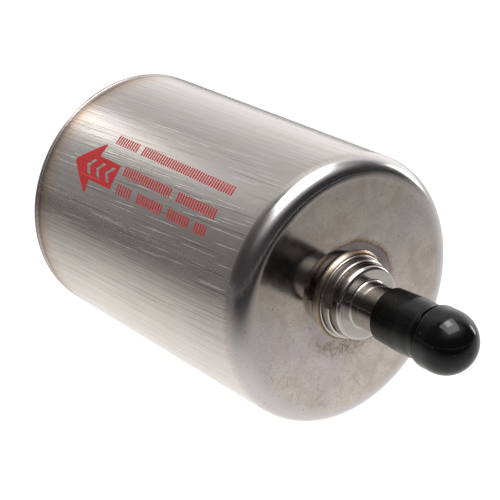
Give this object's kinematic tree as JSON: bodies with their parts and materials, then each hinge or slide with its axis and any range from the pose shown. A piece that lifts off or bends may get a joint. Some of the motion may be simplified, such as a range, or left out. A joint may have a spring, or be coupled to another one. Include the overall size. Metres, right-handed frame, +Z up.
{
  "type": "in-line canister filter",
  "caption": "In-line magnetic canister filter with a beaded hose stub and pull-off cap at each end, a pleated element and a sprung bypass valve.",
  "frame": {"origin": "on the can's axis, half way along the can and the whole object", "axes": "+X along the can's axis to the inlet end, +Z up with the can lying on its side, +Y completes the frame"},
  "size_m": [0.1402, 0.056, 0.056],
  "materials": {
    "can_steel": "fine axial brushing, satin",
    "weld_metal": "heat-tinted seam weld",
    "boss_steel": "turned, bright edges",
    "ring_steel": "bright spring steel",
    "braze_alloy": "golden braze with heat tint",
    "plated_steel": "nickel plated and polished",
    "black_vinyl": "dipped vinyl, satin sleeve and glossy dome",
    "spring_steel": "drawn spring wire",
    "pole_steel": "stamped, zinc plated",
    "ferrite": "ground ferrite",
    "sleeve_plastic": "moulded nylon",
    "zinc_steel": "zinc-plated sheet",
    "filter_paper": "resin-treated pleated paper",
    "seal_rubber": "matte nitrile",
    "valve_brass": "turned brass"
  },
  "bodies": {
    "root": {"canister_shell": "can_steel", "outlet_end_cover": "can_steel", "rim_weld_bead": "weld_metal", "inlet_boss": "boss_steel", "outlet_boss": "boss_steel", "inlet_split_ring": "ring_steel", "outlet_split_ring": "ring_steel", "inlet_braze_fillet": "braze_alloy", "outlet_braze_fillet": "braze_alloy", "inlet_stub": "plated_steel", "outlet_stub": "plated_steel", "stack_preload_spring": "spring_steel", "flux_plate_inlet": "pole_steel", "magnet_ring": "ferrite", "magnet_sleeve": "sleeve_plastic", "magnet_rivet": "zinc_steel", "flux_plate_outlet": "pole_steel", "stack_spacer": "zinc_steel", "element_inlet_disc": "zinc_steel", "element_outlet_disc": "zinc_steel", "pleated_media": "filter_paper", "element_core_tube": "zinc_steel", "element_seat_cup": "zinc_steel", "element_outlet_gasket": "seal_rubber", "bypass_seat": "valve_brass", "bypass_cage": "zinc_steel", "bypass_spring": "spring_steel"},
    "inlet_cap": {"inlet_cap": "black_vinyl"},
    "outlet_cap": {"outlet_cap": "black_vinyl"},
    "bypass_valve": {"bypass_poppet": "valve_brass", "bypass_washer": "seal_rubber"}
  },
  "joints": [
    {"name": "inlet_cap_pull", "type": "slide", "parent": "root", "child": "inlet_cap", "axis": [1, 0, 0], "range_m": [0, 0.03], "deforming": ["inlet_cap"]},
    {"name": "outlet_cap_pull", "type": "slide", "parent": "root", "child": "outlet_cap", "axis": [-1, 0, 0], "range_m": [0, 0.03], "deforming": ["outlet_cap"]},
    {"name": "bypass_valve_lift", "type": "slide", "parent": "root", "child": "bypass_valve", "axis": [-1, 0, 0], "range_m": [0, 0.003], "stiffness_N_per_m": 800, "springref_m": -0.001, "deforming": ["bypass_spring"]}
  ]
}
